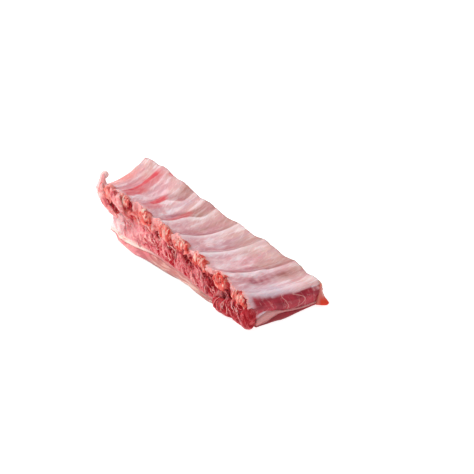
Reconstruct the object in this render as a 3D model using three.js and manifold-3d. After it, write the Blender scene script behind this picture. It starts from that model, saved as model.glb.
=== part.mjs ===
// A raw rack of pork back ribs: eight rib bones joined by the meat between them, lying bone side up.
// Under the rib meat run a seam of fat and the outer meat on which the rack rests.
//
// Millimetres, +Z up. X runs along the rack from its thick end (-X) to its thin end (+X). Y runs along
// the ribs from the chine edge (-Y), where the backbone was sawn away, to the sawn edge (+Y). The
// origin is the middle of the base.
//
// Every shape is worked out in the rack's own coordinates:
//   rib     counts the ribs from the thick end, 0 to 7, with fractions between two ribs
//   across  0 at the chine edge, 1 at the sawn edge
//   up      0 at the underside of a layer, 1 at its top
import * as THREE from "three";
import { mergeVertices } from "three/addons/utils/BufferGeometryUtils.js";
import Module from "manifold-3d";

const wasm = await Module();
wasm.setup();

// Where the crest over each rib meets the two long edges, along X.
const CREST_AT_CHINE = [-108, -88, -53, -18, 10, 41, 76, 107];
const CREST_AT_SAWN = [-140, -121, -86, -46, 0, 35, 80, 106];
const RIBS = CREST_AT_CHINE.length;
const LAST = RIBS - 1;
const END_PITCH = 30; // rib pitch past the first and last rib
const END_ALLOWANCE = 1 / 3; // of a pitch, from the outermost crests to the cut ends

// The sawn edge at each rib: how far across it lies, and how high the crest stands there.
const SAWN_Y = [30.5, 33, 33, 33.2, 34.5, 37, 38, 38.5];
const SAWN_HEIGHT = [46.5, 45.5, 41, 36, 32, 29.5, 26, 22];

// The inner face, bone side up.
const CHINE_HEIGHT_THICK_END = 54;
const CHINE_HEIGHT_THIN_END = 32;
const SAG_THICK_END = 9; // between the two edges
const SAG_THIN_END = 3.5;
const VALLEY_DEPTH = 4.6; // between two ribs, at the chine edge
const VALLEY_AT_THICK_END = 0.62; // of that depth
const VALLEY_AT = 0.64; // of the way from one rib to the next
const LIP_DROP = 3.6; // the membrane rolls over the thin end

// The torn chine edge.
const CHINE_Y = -38;
const KNUCKLE_REACH = 2.5;
const HOLLOW_DEPTH = 6;
const TOP_OVERHANG = 5.5; // at the thick end's corner
const WAIST_DEPTH = 3;
const OUTER_REACH = [1, 3.8, 8.6, 5.6, 3.2, 3.5, 2.8, 1]; // of the outer meat past the rib meat, at each rib

// The ends and the sawn edge.
const SAWN_BULGE = 1.5;
const END_BULGE = 1.6;
const TOE = 5; // the outer meat reaches past the thin end
const SETBACK_AT_FOOT = 13; // of the thick end's chine corner, which is hollowed at its waist
const SETBACK_AT_WAIST = 20;
const SETBACK_AT_TOP = 3;

// Layers, as thicknesses above the base.
const OUTER_AT_CHINE = [1.2, 1.8, 5.2, 9.4, 7.6, 5, 2.4, 1.8]; // at each rib
const OUTER_AT_THICK_END = 14;
const FAT_AT_THICK_END = 2;
const FAT_AT_THIN_END = 1.2;
const FAT_WEDGE = 8.2;
const GAP = 0.45; // between neighbouring solids
const SAWN_CORNER_LIFT = 16; // of the thick end, off the table
const CHINE_CORNER_LIFT = 4;
const BASE_ROUND = 4;

// Bones: flat ovals that widen into rough heads at the chine edge.
const HEAD_AT_CHINE = [-101, -77, -42, -9, 18, 47, 78, 105];
const BONE_PAST_CREST = 3; // at the sawn edge, along X
const BONE_COVER = 2.4; // membrane and meat over the bone
const BONE_HALF_WIDTH = 5.2;
const BONE_HALF_HEIGHT = 3.9;
const HEAD_HALF_WIDTH = 9;
const HEAD_HALF_HEIGHT = 7;
const HEAD_TOP = 0.8; // below the crest
const HEAD_PROUD = 2;
const BONE_PROUD = 0.8; // at the sawn edge
const CHANNEL_RUN_ON = 6;

// Facets.
const STATIONS_PER_RIB = 6;
const GATHER = 0.09; // draws the stations together at the crests
const ROWS = 12;
const ROW_SPREAD = 1.3; // rows lie closer together near the chine edge
const BONE_SIDES = 12;
const BONE_STEPS = 8;

const { lerp, smoothstep, clamp } = THREE.MathUtils;
const bump = (x, centre, reach) => Math.exp(-(((x - centre) / reach) ** 2));
const fade = (x, from, to) => 1 - smoothstep(x, from, to);
const alongRack = (rib) => clamp(rib / LAST, 0, 1);

// A value given at each rib, read between the ribs and carried on past the outermost ones.
function atRib(values, rib, pitch = 0) {
  if (rib <= 0) return values[0] + rib * pitch;
  if (rib >= LAST) return values[LAST] + (rib - LAST) * pitch;
  const k = Math.floor(rib);
  return lerp(values[k], values[k + 1], rib - k);
}

const sawnY = (rib) => atRib(SAWN_Y, rib);

// Position along X. The chine corner of the thick end is set back by the given amount.
function lengthwise(rib, across, setback = SETBACK_AT_TOP) {
  const chine = atRib(CREST_AT_CHINE, rib, END_PITCH);
  const sawn = atRib(CREST_AT_SAWN, rib, END_PITCH);
  return lerp(chine, sawn, across) + setback * fade(rib, -END_ALLOWANCE, 1) * fade(across, 0, 0.55);
}

// The rib coordinate of a place on the inner face.
function ribAt(x, across) {
  let [low, high] = [-1, LAST + 1];
  while (high - low > 1e-4) {
    const middle = (low + high) / 2;
    if (lengthwise(middle, across) < x) low = middle;
    else high = middle;
  }
  return low;
}

// 1 on a rib's crest and 0 in the valley, which lies close behind the next rib's steep flank.
function ridge(rib) {
  const t = rib - Math.floor(rib);
  return t < VALLEY_AT
    ? 0.5 + 0.5 * Math.cos(Math.PI * (t / VALLEY_AT) ** 1.2)
    : 0.5 - 0.5 * Math.cos((Math.PI * (t - VALLEY_AT)) / (1 - VALLEY_AT));
}

// Height of the face that runs over the crests.
function crestHeight(rib, across) {
  const s = alongRack(rib);
  const chine = lerp(CHINE_HEIGHT_THICK_END, CHINE_HEIGHT_THIN_END, s * s);
  const sag = lerp(SAG_THICK_END, SAG_THIN_END, s);
  return lerp(chine, atRib(SAWN_HEIGHT, rib), across) - sag * 4 * across * (1 - across);
}

function innerFace(rib, across) {
  const depth = VALLEY_DEPTH * lerp(VALLEY_AT_THICK_END, 1, smoothstep(rib, 1, 4));
  const valley = depth * lerp(1, 0.5, across) * (1 - ridge(rib));
  const lip = LIP_DROP * smoothstep(rib, LAST, LAST + END_ALLOWANCE) ** 2;
  return crestHeight(rib, across) - valley - lip;
}

// Underside of the rack: flat along the middle, lifted at the thick end's two corners.
function base(rib, across) {
  const sawnCorner = fade(rib, -0.5, 4.8) * smoothstep(across, 0.4, 1);
  const chineCorner = fade(rib, -END_ALLOWANCE, 1) * fade(across, 0, 0.5);
  return SAWN_CORNER_LIFT * sawnCorner + CHINE_CORNER_LIFT * chineCorner;
}

// Top of the outer meat. It tapers away at the thick end's chine corner and along the thin end.
function outerTop(rib, across) {
  const thinEnd = 2.6 + 3.4 * bump(across, 0.36, 0.2);
  const within = lerp(OUTER_AT_THICK_END, thinEnd, alongRack(rib));
  return base(rib, across) + lerp(within, atRib(OUTER_AT_CHINE, rib), fade(across, 0, 0.35));
}

// Top of the fat, which swells into a wedge near the chine edge of the thin end.
function fatTop(rib, across) {
  const wedge = FAT_WEDGE * bump(across, 0.13, 0.17) * smoothstep(rib, 6, 7.2);
  return outerTop(rib, across) + lerp(FAT_AT_THICK_END, FAT_AT_THIN_END, alongRack(rib)) + wedge;
}

// The chine edge of the seam between the layers, drawn in at the thin end, where the rib meat hangs
// down over it.
const drawnIn = (rib) => 6 * smoothstep(rib, 5.4, 6.3);
const seamChineY = (rib) => CHINE_Y + 0.6 * Math.sin(3.3 * rib) + drawnIn(rib);

// The torn chine edge of the rib meat: it swells round the bone heads and sinks between them.
function meatChineY(rib, up) {
  const between = bump(rib - Math.floor(rib), 0.85, 0.16) * smoothstep(rib, 0.6, 2);
  const swell = KNUCKLE_REACH * (1 - between) * smoothstep(up, 0.45, 0.7);
  const hollow = HOLLOW_DEPTH * between * bump(up, 0.6, 0.2);
  const overhang = TOP_OVERHANG * fade(rib, -0.1, 1.1) * smoothstep(up, 0.45, 0.9);
  const waist = WAIST_DEPTH * fade(rib, 0, 2.5) * bump(up, 0.35, 0.15);
  const overlap = drawnIn(rib) * smoothstep(up, 0, 0.25);
  const crags = 0.9 * Math.sin(5.1 * rib + 9 * up) + 0.7 * Math.sin(11.7 * rib - 13 * up);
  const rough = crags * smoothstep(up, 0, 0.3);
  return seamChineY(rib) - swell + hollow - overhang + waist - overlap + rough;
}

// A box-shaped lattice whose points are moved into the rack: place(rib, across, up) gives each one.
function moulded(stations, levels, place) {
  const lattice = new THREE.BoxGeometry(1, 1, 1, stations, ROWS, levels);
  const first = -END_ALLOWANCE;
  const span = LAST + 2 * END_ALLOWANCE;
  return reshaped(lattice, (x, y, z) => {
    const even = first + span * (x + 0.5);
    const rib = even - GATHER * Math.sin(2 * Math.PI * even);
    return place(x === -0.5 ? first : x === 0.5 ? first + span : rib, (y + 0.5) ** ROW_SPREAD, z + 0.5);
  });
}

function reshaped(geometry, place) {
  geometry.deleteAttribute("normal");
  geometry.deleteAttribute("uv");
  const shape = mergeVertices(geometry, 1e-4);
  const points = shape.attributes.position;
  for (let i = 0; i < points.count; i++)
    points.setXYZ(i, ...place(points.getX(i), points.getY(i), points.getZ(i)));
  return shape;
}

const toSolid = (shape) =>
  new wasm.Manifold(
    new wasm.Mesh({
      numProp: 3,
      vertProperties: new Float32Array(shape.attributes.position.array),
      triVerts: new Uint32Array(shape.index.array),
    }),
  );

function toGeometry(solid) {
  const mesh = solid.getMesh();
  const shape = new THREE.BufferGeometry();
  shape.setAttribute("position", new THREE.BufferAttribute(mesh.vertProperties, 3));
  shape.setIndex(new THREE.BufferAttribute(mesh.triVerts, 1));
  shape.computeVertexNormals();
  return shape;
}

// The cut ends bulge a little, as the meat relaxes.
const endBulge = (rib, across, up) =>
  (rib < 0 ? -1 : rib > LAST ? 1 : 0) * END_BULGE * Math.sin(Math.PI * across) * Math.sin(Math.PI * up);

const STATIONS = STATIONS_PER_RIB * (LAST + 2 * END_ALLOWANCE);

// How far the thick end's chine corner is set back at each height of the rib meat.
const setbackAt = (up) =>
  up < 0.35
    ? lerp(SETBACK_AT_FOOT, SETBACK_AT_WAIST, smoothstep(up, 0, 0.35))
    : lerp(SETBACK_AT_WAIST, SETBACK_AT_TOP, smoothstep(up, 0.35, 0.85));

function ribMeat() {
  return moulded(STATIONS, 8, (rib, across, up) => [
    lengthwise(rib, across, setbackAt(up)) + endBulge(rib, across, up),
    lerp(meatChineY(rib, up), sawnY(rib) + SAWN_BULGE * Math.sin(Math.PI * up), across),
    lerp(fatTop(rib, across) + GAP, innerFace(rib, across), up),
  ]);
}

function fatSeam() {
  return moulded(STATIONS / 2, 1, (rib, across, up) => [
    lengthwise(rib, across, SETBACK_AT_FOOT),
    lerp(seamChineY(rib), sawnY(rib), across),
    lerp(outerTop(rib, across) + GAP, fatTop(rib, across), up),
  ]);
}

function outerMeat() {
  return moulded(STATIONS / 2, 3, (rib, across, up) => {
    const inset = BASE_ROUND * (1 - up) ** 3;
    const inwards = rib < 0 ? 1 : rib > LAST ? -1 : 0;
    const toe = TOE * smoothstep(rib, LAST, LAST + END_ALLOWANCE) * bump(across, 0.4, 0.22) * (1 - up);
    const belly = atRib(OUTER_REACH, rib) * (1 - up ** 4);
    return [
      lengthwise(rib, across, SETBACK_AT_FOOT) + inwards * inset + endBulge(rib, across, up) + toe,
      lerp(seamChineY(rib) - belly + inset, sawnY(rib) - inset, across),
      lerp(base(rib, across), outerTop(rib, across), up),
    ];
  });
}

// One rib bone, or with allowance the channel that it lies in, which runs on past both ends.
function bone(k, allowance = 0) {
  const spareRings = allowance > 0 ? 1 : 0;
  const steps = BONE_STEPS + 2 * spareRings;
  const rod = new THREE.CylinderGeometry(1, 1, 1, BONE_SIDES, steps);
  const start = CHINE_Y - KNUCKLE_REACH - HEAD_PROUD - TOP_OVERHANG * fade(k, -0.1, 1.1);
  const finish = SAWN_Y[k] + SAWN_BULGE + BONE_PROUD;
  return reshaped(rod, (x, y, z) => {
    const ring = Math.round((y + 0.5) * steps) - spareRings;
    const held = clamp(ring, 0, BONE_STEPS);
    const at = lerp(start, finish, (held / BONE_STEPS) ** 1.5);
    const across = (at - CHINE_Y) / (SAWN_Y[k] - CHINE_Y);
    const head = fade(across, -0.03, 0.2);
    const halfHeight = lerp(BONE_HALF_HEIGHT, HEAD_HALF_HEIGHT, head);
    const middle = lerp(HEAD_AT_CHINE[k], CREST_AT_SAWN[k] + BONE_PAST_CREST, across);
    const inside = clamp(across, 0, 1);
    const ragged = 1 + 0.1 * head * Math.sin(5 * Math.atan2(z, x) + 2.3 * k);
    const covered = innerFace(ribAt(middle, inside), inside) - BONE_COVER;
    const top = lerp(covered, crestHeight(k, 0) - HEAD_TOP, fade(across, -0.03, 0.1));
    return [
      middle + x * (ragged * lerp(BONE_HALF_WIDTH, HEAD_HALF_WIDTH, head) + allowance),
      at + (ring - held) * CHANNEL_RUN_ON,
      top - halfHeight + z * (ragged * halfHeight + allowance),
    ];
  });
}

// A curled shred of meat that stands on the chine corner of the thick end.
function cornerShred() {
  const foot = new THREE.Vector3(-113, CHINE_Y - 3, CHINE_HEIGHT_THICK_END - 4);
  const height = 13;
  const cone = new THREE.CylinderGeometry(0.35, 1, 1, 8, 5);
  return reshaped(cone, (x, y, z) => {
    const t = y + 0.5;
    return [foot.x + 3 * x + 2 * t * t, foot.y - 3 * z + 4 * t * t, foot.z + height * t];
  });
}

// A lobe of dark meat that hangs over the chine corner of the thin end, down to the table.
function cornerLobe() {
  const lobe = new THREE.SphereGeometry(1, 14, 10);
  return reshaped(lobe, (x, y, z) => {
    const lumps = 1 + 0.06 * Math.sin(9 * x + 7 * z);
    return [102 + 16 * x * lumps, CHINE_Y - 1.2 + 4.3 * y, 9.6 + 9.2 * z * lumps];
  });
}

// A thin flap of skin and fat that flares out from the sawn corner of the thin end.
function cornerFlap() {
  const start = 92;
  const length = 28;
  const topAtCorner = 15;
  const flare = 3.5;
  const rootDepth = 5;
  const sheet = new THREE.BoxGeometry(1, 1, 1, 6, 1, 4);
  return reshaped(sheet, (x, y, z) => {
    const t = x + 0.5;
    const up = z + 0.5;
    const rooted = up === 0 && y < 0; // the foot reaches into the outer meat
    const out = rooted ? -rootDepth : flare * t * t * (1 - up) ** 1.5;
    const thickness = lerp(3, 1.6, up);
    return [
      start + (length - 4 * up) * t,
      SAWN_Y[LAST] + 2.4 + out + y * thickness,
      lerp(0.3, lerp(3, topAtCorner, t * t), up),
    ];
  });
}

const finish = (color, roughness) =>
  new THREE.MeshStandardMaterial({ color, roughness, metalness: 0 });
const MEAT = finish(0xd79a99, 0.4);
const BONE = finish(0xdf8478, 0.5);
const FAT = finish(0xecd3cb, 0.45);
const OUTER = finish(0xd08b86, 0.4);

const rack = new THREE.Group();
function addPiece(name, solid, material) {
  const mesh = new THREE.Mesh(toGeometry(solid), material);
  mesh.name = name;
  rack.add(mesh);
}

let meat = toSolid(ribMeat()).add(toSolid(cornerShred())).add(toSolid(cornerLobe()));
for (let k = 0; k < RIBS; k++) {
  meat = meat.subtract(toSolid(bone(k, GAP)));
  addPiece(`rib_bone_${k + 1}`, toSolid(bone(k)), BONE);
}
addPiece("rib_meat", meat, MEAT);
addPiece("fat_seam", toSolid(fatSeam()), FAT);
addPiece("outer_meat", toSolid(outerMeat()).add(toSolid(cornerFlap())), OUTER);

const extent = new THREE.Box3().setFromObject(rack);
const middle = extent.getCenter(new THREE.Vector3());
rack.position.set(-middle.x, -middle.y, -extent.min.z);

export default rack;
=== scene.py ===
"""A raw rack of pork back ribs, lying bone side up on a pale floor.

The forms are worked out in millimetres in the rack's own coordinates, as in the solids:
  rib     counts the ribs from the thick end, 0 to 7, with fractions between two ribs
  across  0 at the chine edge, 1 at the sawn edge
  up      0 at the underside of a layer, 1 at its top
"""
import math

import bmesh
import bpy
import numpy as np
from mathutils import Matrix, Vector


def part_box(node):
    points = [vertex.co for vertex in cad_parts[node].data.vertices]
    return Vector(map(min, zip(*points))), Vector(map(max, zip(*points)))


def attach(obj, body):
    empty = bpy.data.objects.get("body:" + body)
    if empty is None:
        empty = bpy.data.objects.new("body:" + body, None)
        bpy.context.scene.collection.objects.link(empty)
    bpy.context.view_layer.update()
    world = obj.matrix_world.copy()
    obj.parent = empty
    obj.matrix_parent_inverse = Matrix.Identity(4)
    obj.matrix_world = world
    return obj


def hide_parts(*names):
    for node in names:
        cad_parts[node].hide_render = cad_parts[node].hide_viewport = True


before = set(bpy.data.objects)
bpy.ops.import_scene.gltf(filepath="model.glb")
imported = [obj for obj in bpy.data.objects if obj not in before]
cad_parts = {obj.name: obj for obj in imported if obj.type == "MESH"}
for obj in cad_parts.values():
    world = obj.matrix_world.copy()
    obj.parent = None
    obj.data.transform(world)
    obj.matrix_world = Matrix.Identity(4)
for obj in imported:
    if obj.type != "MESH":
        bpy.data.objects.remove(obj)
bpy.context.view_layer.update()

# ---------------------------------------------------------------- sizes of the rack, millimetres

# Lists have one value for each rib, from the thick end on.
CREST_AT_CHINE = [-108, -88, -53, -18, 10, 41, 76, 107]  # x of the ribs' crests at the chine edge
CREST_AT_SAWN = [-140, -121, -86, -46, 0, 35, 80, 106]  # and at the sawn edge
LAST = 7  # the rib at the thin end
END_PITCH = 30  # from rib to rib, past the first and the last
END_ALLOWANCE = 1 / 3  # of a rib, as far as the layers run past those two
SAWN_Y = [30.5, 33, 33, 33.2, 34.5, 37, 38, 38.5]
SAWN_HEIGHT = [46.5, 45.5, 41, 36, 32, 29.5, 26, 22]  # of the crests at the sawn edge
CHINE_HEIGHT = (54, 32)  # of the crests at the chine edge, at the thick end and the thin end
SAG = (9, 3.5)  # of the inner face between its two edges, at the same two ends
VALLEY_DEPTH = 4.6  # between two crests, at the chine edge
VALLEY_AT_THICK_END = 0.62  # of that depth
VALLEY_AT = 0.64  # of the way from crest to crest
LIP_DROP = 3.6  # of the inner face past the last crest
WIDTH = 80  # across the ribs, as the grain is laid out on it
CHINE_Y = -38
KNUCKLE_REACH = 2.5  # how far the meat swells out round the bones' heads
HOLLOW_DEPTH = 6  # between the heads
TOP_OVERHANG = 5.5  # of the chine side's top at the thick end
WAIST_DEPTH = 3  # below that overhang
OUTER_REACH = [1, 3.8, 8.6, 5.6, 3.2, 3.5, 2.8, 1]  # of the outer meat out of the chine side
SAWN_BULGE = 1.5
END_BULGE = 1.6
TOE = 5  # how far the outer meat's foot reaches out of the thin end
SETBACK_AT_FOOT, SETBACK_AT_WAIST, SETBACK_AT_TOP = 13, 20, 3  # of the thick end's chine corner
OUTER_AT_CHINE = [1.2, 1.8, 5.2, 9.4, 7.6, 5, 2.4, 1.8]  # thickness of the outer meat
OUTER_AT_THICK_END = 14  # thickness away from the chine edge
FAT_AT_THICK_END = 2
FAT_AT_THIN_END = 1.2
FAT_WEDGE = 8.2  # thickness that the wedge at the thin end adds
GAP = 0.45  # between neighbouring solids
SAWN_CORNER_LIFT = 16  # of the underside, at the thick end
CHINE_CORNER_LIFT = 4
BASE_ROUND = 4  # how far the edges of the underside are drawn in
HEAD_AT_CHINE = [-101, -77, -42, -9, 18, 47, 78, 105]  # x of the bones' heads
BONE_PAST_CREST = 3  # at the sawn edge
BONE_COVER = 2.4  # of meat over a bone
BONE_HALF = (5.2, 3.9)  # across and up
HEAD_HALF = (9, 7)
HEAD_TOP = 0.8  # below the crest
HEAD_PROUD = 2  # of the meat on the chine side
BONE_PROUD = 0.8  # of the meat on the sawn side
ROW_SPREAD = 1.2  # rows of a layer's mesh lie closer together near the chine edge

# The frame's origin in the rack's coordinates.
THIN_END_X = CREST_AT_CHINE[LAST] + END_PITCH * END_ALLOWANCE
BONE_END_Y = SAWN_Y[LAST] + SAWN_BULGE + BONE_PROUD
SHIFT = np.array([
    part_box("fat_seam")[1][0] * 1000 - THIN_END_X,
    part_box("rib_bone_8")[1][1] * 1000 - BONE_END_Y,
    0,
])

# ---------------------------------------------------------------- numbers


def smoothstep(x, low, high):
    t = np.clip((np.asarray(x, float) - low) / (high - low), 0, 1)
    return t * t * (3 - 2 * t)


def fade(x, low, high):
    return 1 - smoothstep(x, low, high)


def bump(x, centre, reach):
    return np.exp(-(((x - centre) / reach) ** 2))


def lerp(a, b, t):
    return a + (b - a) * t


def arch(t):
    """0 at both ends of the way from 0 to 1, and 1 half way."""
    return np.sin(math.pi * t)


def noise(points, size, seed=0):
    """Smooth noise from -1 to 1 over points of shape (n, 3); size is the grain, one value or three."""
    table = np.random.default_rng(seed).uniform(-1, 1, (32, 32, 32))
    p = points / np.asarray(size, float)
    cell = np.floor(p).astype(int)
    t = p - cell
    t = t * t * (3 - 2 * t)
    value = np.zeros(len(p))
    for corner in np.ndindex(2, 2, 2):
        weight = np.prod(np.where(corner, t, 1 - t), axis=1)
        at = (cell + corner) % 32
        value += weight * table[at[:, 0], at[:, 1], at[:, 2]]
    return value


def ridged(points, size, seed=0):
    """Noise with sharp ridges, from 0 to 1."""
    return 1 - np.abs(noise(points, size, seed)) * 2


# ---------------------------------------------------------------- the rack's form


def at_rib(values, rib, pitch=0):
    return np.interp(rib, range(LAST + 1), values) + pitch * (
        np.minimum(rib, 0) + np.maximum(rib - LAST, 0))


def along_rack(rib):
    return np.clip(rib / LAST, 0, 1)


def sawn_y(rib):
    return at_rib(SAWN_Y, rib)


def lengthwise(rib, across, setback=SETBACK_AT_TOP):
    chine = at_rib(CREST_AT_CHINE, rib, END_PITCH)
    sawn = at_rib(CREST_AT_SAWN, rib, END_PITCH)
    corner = fade(rib, -END_ALLOWANCE, 1) * fade(across, 0, 0.55)
    return lerp(chine, sawn, across) + setback * corner


def rib_at(x, across):
    """The rib coordinate of a place on the inner face."""
    low, high = -1.0, LAST + 1.0
    while high - low > 1e-4:
        middle = (low + high) / 2
        if lengthwise(middle, across) < x:
            low = middle
        else:
            high = middle
    return low


def ridge(rib):
    t = rib - np.floor(rib)
    near = 0.5 + 0.5 * np.cos(math.pi * np.clip(t / VALLEY_AT, 0, 1) ** 1.2)
    far = 0.5 - 0.5 * np.cos(math.pi * (t - VALLEY_AT) / (1 - VALLEY_AT))
    return np.where(t < VALLEY_AT, near, far)


def crest_height(rib, across):
    s = along_rack(rib)
    chine = lerp(*CHINE_HEIGHT, s * s)
    return lerp(chine, at_rib(SAWN_HEIGHT, rib), across) - lerp(*SAG, s) * 4 * across * (1 - across)


def past_last(rib):
    """0 up to the last crest, 1 at the thin end."""
    return smoothstep(rib, LAST, LAST + END_ALLOWANCE)


def inner_face(rib, across):
    depth = VALLEY_DEPTH * lerp(VALLEY_AT_THICK_END, 1, smoothstep(rib, 1, 4))
    valley = depth * lerp(1, 0.5, across) * (1 - ridge(rib))
    lip = LIP_DROP * past_last(rib) ** 2
    return crest_height(rib, across) - valley - lip


def base(rib, across):
    sawn_corner = fade(rib, -0.5, 4.8) * smoothstep(across, 0.4, 1)
    chine_corner = fade(rib, -END_ALLOWANCE, 1) * fade(across, 0, 0.5)
    return SAWN_CORNER_LIFT * sawn_corner + CHINE_CORNER_LIFT * chine_corner


def outer_top(rib, across):
    thin_end = 2.6 + 3.4 * bump(across, 0.36, 0.2)
    within = lerp(OUTER_AT_THICK_END, thin_end, along_rack(rib))
    return base(rib, across) + lerp(within, at_rib(OUTER_AT_CHINE, rib), fade(across, 0, 0.35))


def fat_top(rib, across):
    wedge = FAT_WEDGE * bump(across, 0.13, 0.17) * smoothstep(rib, 6, 7.2)
    return outer_top(rib, across) + lerp(FAT_AT_THICK_END, FAT_AT_THIN_END, along_rack(rib)) + wedge


def drawn_in(rib):
    return 6 * smoothstep(rib, 5.4, 6.3)


def seam_chine_y(rib):
    return CHINE_Y + 0.6 * np.sin(3.3 * rib) + drawn_in(rib)


def between_heads(rib):
    return bump(rib - np.floor(rib), 0.85, 0.16) * smoothstep(rib, 0.6, 2)


def meat_chine_y(rib, up):
    between = between_heads(rib)
    swell = KNUCKLE_REACH * (1 - between) * smoothstep(up, 0.45, 0.7)
    hollow = HOLLOW_DEPTH * between * bump(up, 0.6, 0.2)
    overhang = TOP_OVERHANG * fade(rib, -0.1, 1.1) * smoothstep(up, 0.45, 0.9)
    waist = WAIST_DEPTH * fade(rib, 0, 2.5) * bump(up, 0.35, 0.15)
    overlap = drawn_in(rib) * smoothstep(up, 0, 0.25)
    return seam_chine_y(rib) - swell + hollow - overhang + waist - overlap


def setback_at(up):
    low = lerp(SETBACK_AT_FOOT, SETBACK_AT_WAIST, smoothstep(up, 0, 0.35))
    high = lerp(SETBACK_AT_WAIST, SETBACK_AT_TOP, smoothstep(up, 0.35, 0.85))
    return np.where(up < 0.35, low, high)


def end_bulge(rib, across, up):
    side = past_last(rib) - fade(rib, -END_ALLOWANCE, 0)
    return side * END_BULGE * arch(across) * arch(up)


# ---------------------------------------------------------------- meshes


def box_lattice(*counts):
    """The surface of a unit box, cut into counts cells each way: (points, quads)."""
    i, j, k = np.meshgrid(*[np.arange(n + 1) for n in counts], indexing="ij")
    on_surface = np.zeros(i.shape, bool)
    for index, count in zip((i, j, k), counts):
        on_surface |= (index == 0) | (index == count)
    ids = np.full(i.shape, -1)
    ids[on_surface] = np.arange(on_surface.sum())
    points = np.stack([index[on_surface] / count for index, count in zip((i, j, k), counts)], 1)
    quads = []
    for axis in range(3):
        for end in (0, counts[axis]):
            side = np.take(ids, end, axis=axis)
            corners = [side[:-1, :-1], side[1:, :-1], side[1:, 1:], side[:-1, 1:]]
            if (end == 0) == (axis != 1):
                corners.reverse()
            quads.append(np.stack(corners, -1).reshape(-1, 4))
    return points, np.concatenate(quads)


def layer_lattice(*counts):
    """The surface of a layer that runs through the rack: (quads, rib, across, up)."""
    unit, quads = box_lattice(*counts)
    rib = -END_ALLOWANCE + (LAST + 2 * END_ALLOWANCE) * unit[:, 0]
    return quads, rib, unit[:, 1] ** ROW_SPREAD, unit[:, 2]


def layer_flow(rib, across, z):
    """Places in millimetres over a layer, with the second axis along the ribs."""
    return np.stack([rib * END_PITCH, across * WIDTH, z], 1)


def sphere_lattice(rings, segments):
    """A unit ball as (points, faces), with its poles along Z."""
    theta = np.linspace(0, math.pi, rings + 1)[1:-1]
    phi = np.arange(segments) * 2 * math.pi / segments
    t, p = np.meshgrid(theta, phi, indexing="ij")
    points = np.stack([np.sin(t) * np.cos(p), np.sin(t) * np.sin(p), np.cos(t)], -1).reshape(-1, 3)
    return with_caps(points, rings - 1, segments, np.array([0, 0, 1.0]), np.array([0, 0, -1.0]))


def with_caps(points, rings, segments, first, last):
    """Closes rings of points into a body with a point at each end."""
    faces = []
    for r in range(rings - 1):
        for s in range(segments):
            t = (s + 1) % segments
            a, b = r * segments, (r + 1) * segments
            faces.append((a + s, b + s, b + t, a + t))
    top, bottom = len(points), len(points) + 1
    last_ring = (rings - 1) * segments
    for s in range(segments):
        t = (s + 1) % segments
        faces.append((top, s, t))
        faces.append((bottom, last_ring + t, last_ring + s))
    return np.vstack([points, first, last]), faces


def joined(bodies):
    """Several (points, faces, masks) as one; masks is a dict of name to array."""
    points, faces, offset = [], [], 0
    names = sorted({name for body in bodies for name in body[2]})
    masks = {name: [] for name in names}
    for body_points, body_faces, body_masks in bodies:
        points.append(body_points)
        faces += [[int(v) + offset for v in face] for face in body_faces]
        for name in names:
            masks[name].append(body_masks.get(name, np.zeros(len(body_points))))
        offset += len(body_points)
    return np.vstack(points), faces, {name: np.concatenate(masks[name]) for name in names}


def all_over(points, **values):
    """Masks that have one value each all over a body."""
    return {name: np.full(len(points), float(value)) for name, value in values.items()}


def tube(path, half_widths, half_depths, segments):
    """A rod along a path near the chine side, wide along the side and deep outwards from it.

    Returns its points and faces, and for each point how far along it lies, 0 to 1, and its turn
    round the rod, which is 0 at one side and a quarter turn at the front."""
    path = np.asarray(path, float)
    tangent = np.gradient(path, axis=0)
    tangent /= np.linalg.norm(tangent, axis=1, keepdims=True)
    side = np.cross(tangent, [0, -1.0, 0])
    side /= np.linalg.norm(side, axis=1, keepdims=True) + 1e-9
    front = np.cross(side, tangent)
    turn = np.linspace(0, 2 * math.pi, segments, endpoint=False)
    wide = side[:, None] * np.cos(turn)[None, :, None] * np.reshape(half_widths, (-1, 1, 1))
    deep = front[:, None] * np.sin(turn)[None, :, None] * np.reshape(half_depths, (-1, 1, 1))
    points = (path[:, None] + wide + deep).reshape(-1, 3)
    points, faces = with_caps(points, len(path), segments, path[0] - 0.3 * tangent[0],
                              path[-1] + 0.3 * tangent[-1])
    along = np.append(np.repeat(np.linspace(0, 1, len(path)), segments), [0, 1])
    return points, faces, along, np.append(np.tile(turn, len(path)), [0, 0])


def roughened(points, turn, height):
    """A tube's points moved outwards by a height."""
    return points + height[:, None] * np.stack([np.cos(turn), -np.sin(turn), 0 * turn], 1)


def piece(name, body, flow, material, slot, *nodes):
    """A mesh object from (points, faces, masks) in rack millimetres, riding on the frame.

    flow gives each point a place in millimetres with its second axis along the meat's grain."""
    points, faces, masks = body
    mesh = bpy.data.meshes.new(name)
    mesh.from_pydata(((points + SHIFT) / 1000).tolist(), [], [list(map(int, f)) for f in faces])
    for mask, values in masks.items():
        mesh.attributes.new(mask, "FLOAT", "POINT").data.foreach_set("value", values.astype(np.float32))
    grain = mesh.attributes.new("flow", "FLOAT_VECTOR", "POINT")
    grain.data.foreach_set("vector", flow.astype(np.float32).ravel())
    mesh.shade_smooth()
    mesh.materials.append(material)
    obj = bpy.data.objects.new(name, mesh)
    bpy.context.collection.objects.link(obj)
    recalculate_normals(mesh)
    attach(obj, "root")
    if nodes:
        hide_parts(*nodes)


def layer(name, body, flow, grown_on, material, slot, node):
    """A layer of the rack with smaller bodies grown on to it, whose own points are their flow."""
    flows = np.vstack([flow] + [points for points, _, _ in grown_on])
    piece(name, joined([body] + grown_on), flows, material, slot, node)


def recalculate_normals(mesh):
    work = bmesh.new()
    work.from_mesh(mesh)
    bmesh.ops.recalc_face_normals(work, faces=work.faces)
    work.to_mesh(mesh)
    work.free()


# ---------------------------------------------------------------- the torn chine side

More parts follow.
